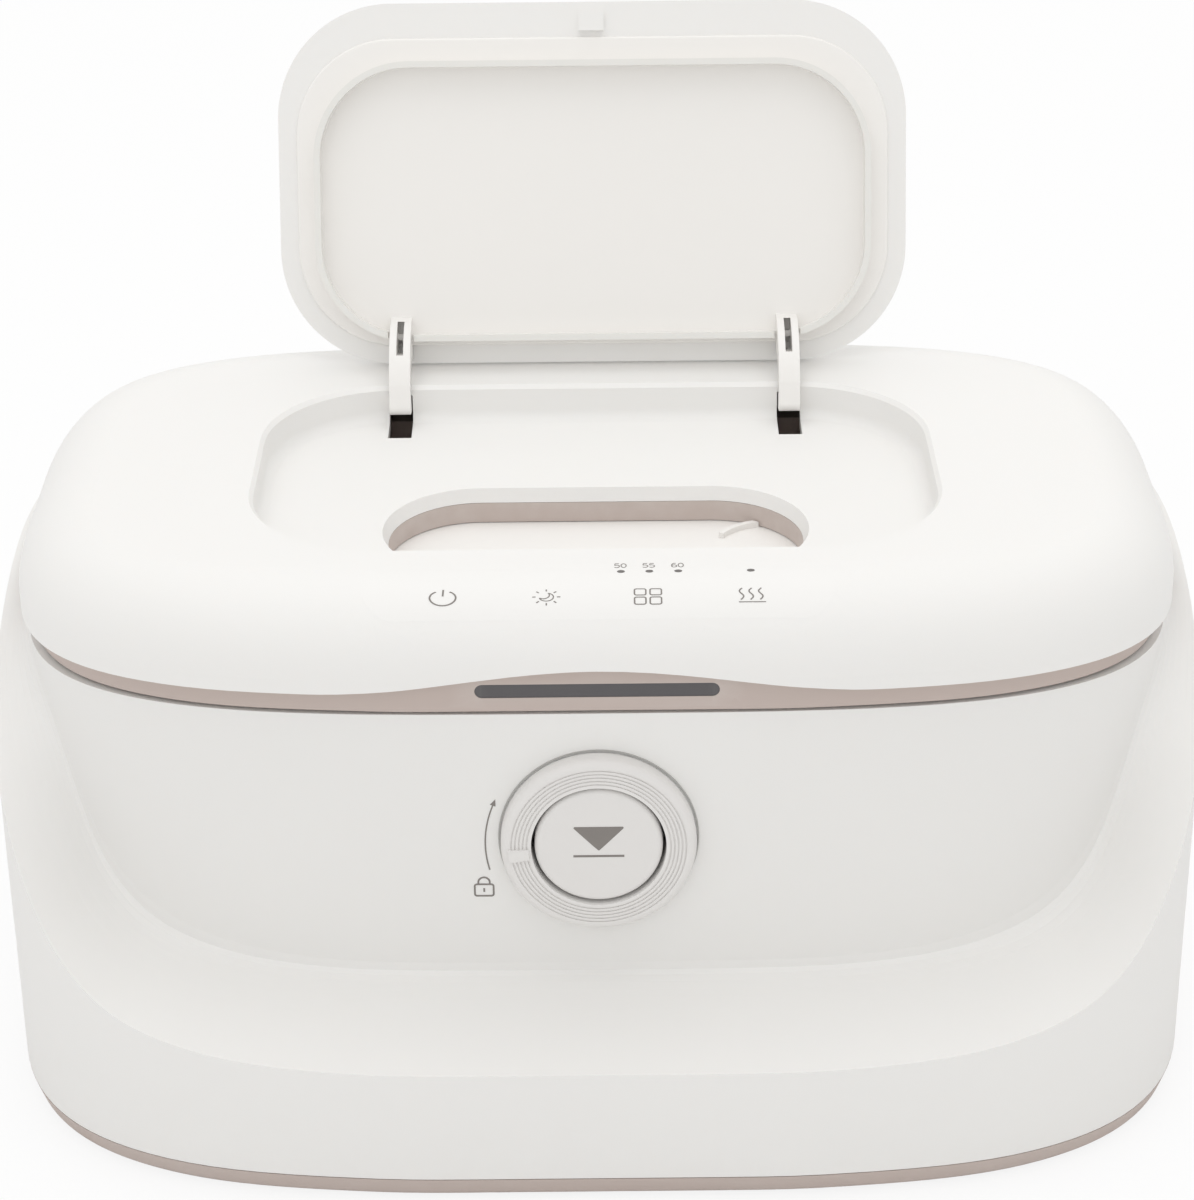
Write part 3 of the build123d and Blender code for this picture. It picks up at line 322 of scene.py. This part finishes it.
plastics = dict(
    lidWhite=dict(colour=(240, 239, 237), roughness=0.46, depth=0.05),
    bodyWhite=dict(colour=(238, 237, 235), roughness=0.5, depth=0.05),
    knobWhite=dict(colour=(230, 228, 226), roughness=0.42),
    innerWhite=dict(colour=(243, 241, 238), roughness=0.42),
    taupe=dict(colour=(196, 182, 175), roughness=0.5, drift=0.03),
    touchFilm=dict(colour=(240, 239, 237), roughness=0.36, bump=0.05),
    smoked=dict(colour=(92, 90, 92), roughness=0.34, wear=0.1),
    milky=dict(colour=(236, 236, 230), roughness=0.4),
    greyPlastic=dict(colour=(178, 177, 174), roughness=0.5),
    blackPlastic=dict(colour=(38, 38, 40), roughness=0.45, worn=(0.1, 0.1, 0.1, 1)),
    rubber=dict(colour=(58, 57, 58), roughness=0.78, bump=0.3, grainScale=1400.0,
                worn=(0.09, 0.09, 0.09, 1), specular=0.25),
    silicone=dict(colour=(232, 231, 227), roughness=0.62, depth=0.1),
    foam=dict(colour=(78, 80, 84), roughness=0.9, bump=0.7, bumpDepth=0.3, grainScale=700.0, specular=0.1),
    amberFilm=dict(colour=(196, 128, 52), roughness=0.25, coat=0.5),
    solderMask=dict(colour=(34, 92, 58), roughness=0.32, coat=0.3, grainScale=500.0,
                    worn=(0.1, 0.3, 0.16, 1)),
    wireCover=dict(colour=(150, 36, 34), roughness=0.5),
    ink=dict(colour=(134, 129, 125), roughness=0.55, wear=0.0, bump=0.2),
    spotInk=dict(colour=(112, 108, 106), roughness=0.4, wear=0.0),
)
metals = dict(
    steel=dict(colour=(196, 196, 198), roughness=0.3),
    springSteel=dict(colour=(150, 150, 154), roughness=0.34),
    aluminium=dict(colour=(214, 215, 217), roughness=0.38, stretch=(900, 30, 900)),
)
finishes = {name: mouldedPlastic(name, facts) for name, facts in plastics.items()}
finishes.update({name: drawnPart(name, facts) for name, facts in metals.items()})

wornBy = {
    "lidWhite": ["lid_top_shell", "flip_cover"],
    "bodyWhite": ["body_shell"],
    "knobWhite": ["lock_ring", "push_button"],
    "innerWhite": ["inner_tank", "flip_liner", "wipe_plate"],
    "taupe": ["base_pan", "lid_bottom_shell"],
    "touchFilm": ["touch_strip"],
    "smoked": ["light_window"],
    "milky": ["light_guide"],
    "greyPlastic": ["latch_housing", "latch_lever"],
    "blackPlastic": ["dc_jack", "board_parts", "temperature_sensor"],
    "rubber": ["rubber_feet"],
    "silicone": ["lid_gasket", "flip_seal"],
    "foam": ["insulation_pad", "touch_pads"],
    "amberFilm": ["heater_film"],
    "solderMask": ["main_board", "touch_board", "light_board"],
    "wireCover": ["supply_wires", "heater_wires"],
    "steel": ["base_screws", "tank_screws", "board_screws", "latch_screws", "touch_screws", "lid_screws",
              "wipe_plate_screws", "latch_pin", "hinge_pins", "flip_pins", "thermal_fuse"],
    "springSteel": ["button_spring", "latch_spring", "hinge_springs"],
    "aluminium": ["heater_plate"],
}


def dress(piece, finish):
    piece.data.materials.clear()
    piece.data.materials.append(finishes[finish])


for finish, names in wornBy.items():
    for name in names:
        dress(nodes[name], finish)
print("materials given to", sum(len(names) for names in wornBy.values()), "nodes")

# ---- the surfaces that carry the printed signs
body = dict(lidY=12.3, coreHalfX=123.7, coreHalfY=71.0, corePower=3.7)
lidForm = dict(halfX=125.0, halfY=74.5, power=3.66, top=122.9, round=17.0, swell=2.77, swellEnd=51.2)
knob = dict(height=67.0, face=-62.5)


def superellipse(across, halfX, halfY, power):
    # how far the plan reaches at each place across: halfY times (1 - |across / halfX| ^ power) ^ (1 / power)
    return halfY * (1 - np.abs(across / halfX) ** power) ** (1 / power)


def lidPoint(across, ahead, lift):
    # the rolled front of the lid: a quarter circle by the distance in from the lid's outline,
    # then the flat top; the outline swells by swell * s^4 * (1 - s), s going 0 to 1 at swellEnd
    share = np.clip(np.abs(across) / lidForm["swellEnd"], 0, 1)
    reach = superellipse(across, lidForm["halfX"], lidForm["halfY"], lidForm["power"])
    outline = body["lidY"] - reach - lidForm["swell"] * share ** 4 * (1 - share)
    inward = np.clip(ahead - outline, 0, lidForm["round"])
    rise = np.sqrt(lidForm["round"] ** 2 - (lidForm["round"] - inward) ** 2)
    slope = (lidForm["round"] - inward) / lidForm["round"]
    height = lidForm["top"] - lidForm["round"] + rise
    return np.stack([across, ahead - lift * slope, height + lift * np.sqrt(1 - slope ** 2)], -1)


def wallPoint(across, height, lift):
    # the upright front wall: a superellipse in plan
    ahead = body["lidY"] - superellipse(across, body["coreHalfX"], body["coreHalfY"], body["corePower"])
    return np.stack([across, ahead - lift, height], -1)


def buttonPoint(across, height, lift):
    # the flat face of the push button
    return np.stack([across, np.full_like(across, knob["face"]) - lift, height], -1)


# ---- ink: thin closed bands laid on a surface
ink = dict(above=0.05, below=0.06, join=1e-5)


def strokeEdges(path, width):
    # both edges of a line: each point moved half the width along the normal to its neighbours
    path = np.asarray(path, float)
    closed = np.allclose(path[0], path[-1])
    if closed:
        ahead, behind = np.roll(path[:-1], -1, 0), np.roll(path[:-1], 1, 0)
        along = ahead - behind
        along = np.vstack([along, along[:1]])
    else:
        along = np.gradient(path, axis=0)
    along /= np.linalg.norm(along, axis=1)[:, None]
    normal = np.stack([-along[:, 1], along[:, 0]], -1) * width / 2
    return path + normal, path - normal


def inkBand(left, right, surface, start):
    # a band between two edges, four points across: both edges above and both below the surface
    corners = ((left, ink["above"]), (right, ink["above"]), (right, -ink["below"]), (left, -ink["below"]))
    points = np.stack([surface(edge[:, 0], edge[:, 1], lift) for edge, lift in corners], 1)
    closed = np.allclose(left[0], left[-1]) and np.allclose(right[0], right[-1])
    if closed:
        points = points[:-1]
    count = len(points)
    faces = gridFaces(count, 4, closeRows=closed, closeColumns=True, start=start)
    if not closed:
        last = start + 4 * count - 1
        faces += [list(range(start, start + 4)), list(range(last, last - 4, -1))]
    return points.reshape(-1, 3), faces


def inkPiece(name, bands, surface, bodyName, finish="ink"):
    # several bands joined in one piece, faces turned outwards
    allPoints, allFaces, start = [], [], 0
    for left, right in bands:
        points, faces = inkBand(left, right, surface, start)
        allPoints.append(points)
        allFaces += faces
        start += len(points)
    piece = meshObject(name, np.vstack(allPoints), allFaces, smooth=False)
    work = bmesh.new()
    work.from_mesh(piece.data)
    bmesh.ops.remove_doubles(work, verts=work.verts, dist=ink["join"] * mm)
    bmesh.ops.recalc_face_normals(work, faces=work.faces)
    work.to_mesh(piece.data)
    work.free()
    piece.data.materials.append(finishes[finish])
    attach(piece, bodyName)


def circlePath(radius, start, end, steps=40, centre=(0, 0)):
    # points on a circle from one angle to another
    turn = np.radians(np.linspace(start, end, steps))
    return np.stack([centre[0] + radius * np.cos(turn), centre[1] + radius * np.sin(turn)], -1)


def roundedBox(halfX, halfY, radius, steps=7):
    # four quarter circles joined in one closed path
    corners = [circlePath(radius, turn, turn + 90, steps, (sx * (halfX - radius), sy * (halfY - radius)))
               for turn, sx, sy in ((0, 1, 1), (90, -1, 1), (180, -1, -1), (270, 1, -1))]
    path = np.vstack(corners)
    return np.vstack([path, path[:1]])


def levelLine(half, height):
    return np.array([(-half, height), (0, height), (half, height)])


def ovalSpot(halfX, halfY, centre):
    # a filled oval: its left and right halves, from the bottom up
    right = circlePath(1.0, -90, 90, 15) * (halfX, halfY) + centre
    return right * (-1, 1) + (2 * centre[0], 0), right


# ---- the signs of the four touch keys, each drawn about its own centre
powerFacts = dict(radius=2.65, start=122, end=418, bar=((0.1, 3.1), (0.05, 1.8), (0.0, 0.6)), stroke=0.36)
sunMoon = dict(rays=8, rayReach=(2.15, 2.5, 2.85), rayStroke=0.28, moon=1.45, moonStart=-165, moonEnd=75,
               biteAway=0.9, biteTurn=135, moonStroke=0.24)
windows = dict(halfX=1.15, halfY=1.2, corner=0.45, away=1.58, stroke=0.3)
steam = dict(places=(-2.15, -0.2, 1.75), swing=0.42, waves=1.1, lead=0.05, top=2.7, length=4.3,
             stroke=0.3, lineHalf=2.75, lineHeight=-2.35, lineStroke=0.26)


def powerSign():
    # a ring that is open at the top, with a bar in the gap
    ring = circlePath(powerFacts["radius"], powerFacts["start"], powerFacts["end"], 48)
    return [strokeEdges(path, powerFacts["stroke"]) for path in (ring, powerFacts["bar"])]


def dayNightSign():
    # rays all round a crescent, whose inner arc turns about a point off its centre
    bands = []
    for turn in np.arange(sunMoon["rays"]) * (360 / sunMoon["rays"]):
        way = np.array([np.cos(np.radians(turn)), np.sin(np.radians(turn))])
        bands.append(strokeEdges([way * reach for reach in sunMoon["rayReach"]], sunMoon["rayStroke"]))
    outer = circlePath(sunMoon["moon"], sunMoon["moonStart"], sunMoon["moonEnd"], 36)
    biteTurn = np.radians(sunMoon["biteTurn"])
    middle = sunMoon["biteAway"] * np.array([np.cos(biteTurn), np.sin(biteTurn)])
    first, last = outer[-1] - middle, outer[0] - middle
    inner = circlePath(np.hypot(*first), np.degrees(np.arctan2(first[1], first[0])),
                       np.degrees(np.arctan2(last[1], last[0])), 24, middle)
    bands.append(strokeEdges(np.vstack([outer, inner[1:]]), sunMoon["moonStroke"]))
    return bands


def modeSign():
    # four small windows
    edges = strokeEdges(roundedBox(windows["halfX"], windows["halfY"], windows["corner"]), windows["stroke"])
    away = windows["away"]
    return [tuple(edge + (sx * away, sy * away) for edge in edges) for sx in (-1, 1) for sy in (-1, 1)]


def heatSign():
    # three waves of steam, sines from the top down, over a line
    share = np.linspace(0, 1, 26)
    sway = steam["swing"] * np.sin(2 * np.pi * (steam["waves"] * share - steam["lead"]))
    height = steam["top"] - steam["length"] * share
    bands = [strokeEdges(np.stack([across - sway, height], -1), steam["stroke"])
             for across in steam["places"]]
    bands.append(strokeEdges(levelLine(steam["lineHalf"], steam["lineHeight"]), steam["lineStroke"]))
    return bands


# ---- plain numbers: one open line each, in a cell one wide and one point six high
digit = dict(width=1.15, height=1.12, pitch=1.36, drop=0.9, stroke=0.2)
digitPaths = {
    "5": np.vstack([[(0.85, 1.6), (0.18, 1.6), (0.13, 1.3), (0.1, 1.0)],
                    circlePath(0.5, 125, -140, 16, (0.45, 0.5))]),
    "0": circlePath(1.0, 90, 450, 30) * (0.45, 0.78) + (0.5, 0.8),
    "6": np.vstack([[(0.8, 1.5), (0.45, 1.6), (0.15, 1.25), (0.05, 0.85)],
                    circlePath(0.45, 160, 520, 22, (0.5, 0.47))]),
}


def numberSign(text, centre):
    bands = []
    for index, letter in enumerate(text):
        corner = (centre[0] + (index - len(text) / 2) * digit["pitch"], centre[1] - digit["drop"])
        path = digitPaths[letter] * (digit["width"], digit["height"]) + corner
        bands.append(strokeEdges(path, digit["stroke"]))
    return bands


keys = dict(ahead=body["lidY"] - 65.9, squeeze=0.58, power=-31.1, dayNight=-10.1, mode=10.5, heat=31.6)
numbers = dict(ahead=body["lidY"] - 56.5, places=(5.1, 10.9, 16.8), texts=("50", "55", "60"))
lights = dict(ahead=body["lidY"] - 59.0, halfX=0.8, halfY=0.5)


def keySign(bands, across):
    # a sign moved to its key, flattened to lie on the slope of the lid
    return [tuple(edge * (1, keys["squeeze"]) + (across, keys["ahead"]) for edge in band) for band in bands]


def makeKeySigns():
    bands = keySign(powerSign(), keys["power"])
    bands += keySign(dayNightSign(), keys["dayNight"])
    bands += keySign(modeSign(), keys["mode"])
    bands += keySign(heatSign(), keys["heat"])
    for text, across in zip(numbers["texts"], numbers["places"]):
        bands += numberSign(text, (across, numbers["ahead"]))
    inkPiece("keySigns", bands, lidPoint, "main_lid")
    spots = [ovalSpot(lights["halfX"], lights["halfY"], (across, lights["ahead"]))
             for across in (*numbers["places"], keys["heat"])]
    inkPiece("statusSpots", spots, lidPoint, "main_lid", "spotInk")


# ---- the button's mark, the padlock and the arrow beside the ring
pressMark = dict(top=71.7, tip=66.0, half=5.4, cornerShare=0.07, cornerCut=0.09, ease=0.12,
                 barHeight=64.65, barHalf=5.3, barStroke=0.5)
padlock = dict(across=-24.2, height=54.2, halfX=1.98, halfZ=1.42, corner=0.5, shackle=1.2, shackleRise=0.5,
               keyhole=0.45, stroke=0.38)
turnArrow = dict(start=(-22.9, 59.2), bend=(-24.9, 67.1), end=(-21.9, 74.9), stroke=0.3, headBack=0.1,
                 headLength=1.5, headHalf=0.62)


def makePressSign():
    # a filled triangle over a bar; its half width shrinks straight to the tip, is cut at the two upper
    # corners by a square root, and is eased by ease * sqrt(1 - share^8) so that the tip is blunt
    share = np.linspace(0, 1, 30)
    cut = pressMark["cornerCut"] * (1 - np.sqrt(np.clip(share / pressMark["cornerShare"], 0, 1)))
    half = pressMark["half"] * (1 - share) * (1 - cut) + pressMark["ease"] * np.sqrt(1 - share ** 8)
    height = pressMark["top"] + (pressMark["tip"] - pressMark["top"]) * share
    triangle = np.stack([-half, height], -1), np.stack([half, height], -1)
    bar = strokeEdges(levelLine(pressMark["barHalf"], pressMark["barHeight"]), pressMark["barStroke"])
    inkPiece("pressSign", [triangle, bar], buttonPoint, "push_button")


def padlockBands():
    # case, shackle and keyhole
    half, shackle = padlock["halfZ"], padlock["shackle"]
    case = roundedBox(padlock["halfX"], half, padlock["corner"])
    arch = circlePath(shackle, 180, 0, 24, (0, half + padlock["shackleRise"]))
    bow = np.vstack([[(-shackle, half)], arch, [(shackle, half)]])
    keyhole = np.array([(0, padlock["keyhole"]), (0, 0), (0, -padlock["keyhole"])])
    middle = (padlock["across"], padlock["height"])
    return [tuple(edge + middle for edge in strokeEdges(path, padlock["stroke"]))
            for path in (case, bow, keyhole)]


def turnArrowBands():
    # a quadratic curve from start to end, pulled towards the bend, and a head that narrows to its tip
    start, bend, end = (np.array(turnArrow[name]) for name in ("start", "bend", "end"))
    share = np.linspace(0, 1, 30)[:, None]
    curve = (1 - share) ** 2 * start + 2 * share * (1 - share) * bend + share ** 2 * end
    way = (end - bend) / np.linalg.norm(end - bend)
    side = np.array([-way[1], way[0]]) * turnArrow["headHalf"]
    foot, tip = end - turnArrow["headBack"] * way, end + turnArrow["headLength"] * way
    steps = np.linspace(0, 1, 6)[:, None]
    spine = foot + (tip - foot) * steps
    head = spine + side * (1 - steps), spine - side * (1 - steps)
    return [strokeEdges(curve, turnArrow["stroke"]), head]


def makeLockSigns():
    inkPiece("lockSigns", padlockBands() + turnArrowBands(), wallPoint, "base")


# ---- a ring of painted shade in the gap around the turning ring, and the coil behind the button
knobShadeRing = dict(height=knob["height"], inner=20.62, outer=20.95, rise=0.25, sink=0.3, step=3.0)
spring = dict(start=-58.2, end=-53.3, radius=8.0, wire=0.45, turns=1.54, height=knob["height"], keep=0.55,
              along=120, around=12)


def makeKnobShadeRing():
    # a thin grey ring of painted shade, standing for the shadow in the gap around the turning ring: a small
    # rectangle carried round a circle
    turn = np.radians(np.arange(0, 360, knobShadeRing["step"]))[:, None]
    radius = np.array([knobShadeRing["outer"], knobShadeRing["inner"], knobShadeRing["inner"], knobShadeRing["outer"]])
    lift = np.array([knobShadeRing["rise"], knobShadeRing["rise"], -knobShadeRing["sink"], -knobShadeRing["sink"]])
    points = wallPoint(radius * np.cos(turn), knobShadeRing["height"] + radius * np.sin(turn), lift + 0 * turn)
    shadeRing = meshObject("knobShadeRing", points.reshape(-1, 3), gridFaces(len(turn), 4, True, True), smooth=False)
    shadeRing.data.materials.append(finishes["greyPlastic"])
    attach(shadeRing, "base")


def makeButtonCoil():
    # a small circle carried along a helix round the knob's axis
    turn = np.linspace(0, 2 * np.pi * spring["turns"], spring["along"])[:, None]
    around = np.linspace(0, 2 * np.pi, spring["around"], endpoint=False)
    length = spring["end"] - spring["start"] - 2 * spring["wire"]
    reach = spring["radius"] + spring["wire"] * np.cos(around)
    ahead = spring["start"] + spring["wire"] + length * turn / turn[-1] + spring["wire"] * np.sin(around)
    points = np.stack([reach * np.cos(turn), ahead, spring["height"] + reach * np.sin(turn)], -1)
    count, ring = points.shape[:2]
    ends = [list(range(ring)), list(range((count - 1) * ring, count * ring))[::-1]]
    coil = meshObject("buttonCoil", points.reshape(-1, 3), gridFaces(count, ring, closeColumns=True) + ends)
    coil.data.materials.append(finishes["springSteel"])
    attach(coil, "base")
    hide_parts("button_spring")
    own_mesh(coil)


makeKeySigns()
makePressSign()
makeLockSigns()
makeKnobShadeRing()
makeButtonCoil()
print("printed signs, knob shade ring and button coil made")

# ---- floor, light and air
studio = dict(world=0.79, air=(1.0, 0.995, 0.985, 1), floorHalf=6000.0, floorColour=(0.9, 0.9, 0.9, 1),
              floorRoughness=0.9, floorSpecular=0.1, ownGlow=0.85)
panels = dict(
    topPanel=dict(place=(0, 100, 1600), tilt=0, turn=0, size=1800.0, power=7.7),
    frontPanel=dict(place=(-400, -1500, 1350), tilt=49, turn=-14, size=1400.0, power=2.7),
    backPanel=dict(place=(300, 1500, 1200), tilt=-52, turn=-12, size=1400.0, power=1.5),
)


def makeFloor():
    # a matt floor that the camera sees mostly by its own glow
    material, tree, shader = newMaterial("studioFloor")
    shader.inputs["Base Color"].default_value = studio["floorColour"]
    shader.inputs["Roughness"].default_value = studio["floorRoughness"]
    shader.inputs["Specular IOR Level"].default_value = studio["floorSpecular"]
    glow = tree.nodes.new("ShaderNodeEmission")
    path = tree.nodes.new("ShaderNodeLightPath")
    share = mathNode(tree, "MULTIPLY", path.outputs["Is Camera Ray"], studio["ownGlow"])
    mix = tree.nodes.new("ShaderNodeMixShader")
    tree.links.new(share, mix.inputs[0])
    tree.links.new(shader.outputs[0], mix.inputs[1])
    tree.links.new(glow.outputs[0], mix.inputs[2])
    tree.links.new(mix.outputs[0], tree.nodes["Material Output"].inputs["Surface"])
    half = studio["floorHalf"]
    corners = [(-half, -half, 0), (half, -half, 0), (half, half, 0), (-half, half, 0)]
    floor = meshObject("studioFloor", corners, [(0, 1, 2, 3)], smooth=False)
    floor.data.materials.append(material)


def makeLights():
    world = bpy.data.worlds.new("studioAir")
    bpy.context.scene.world = world
    world.use_nodes = True
    back = world.node_tree.nodes["Background"]
    back.inputs["Color"].default_value = studio["air"]
    back.inputs["Strength"].default_value = studio["world"]
    for name, facts in panels.items():
        data = bpy.data.lights.new(name, "AREA")
        data.shape, data.size, data.energy = "SQUARE", facts["size"] * mm, facts["power"]
        lamp = bpy.data.objects.new(name, data)
        lamp.location = np.array(facts["place"]) * mm
        lamp.rotation_euler = (np.radians(facts["tilt"]), 0, np.radians(facts["turn"]))
        bpy.context.scene.collection.objects.link(lamp)


makeFloor()
makeLights()
bpy.context.scene.view_settings.view_transform = "Standard"
print("floor and light set")
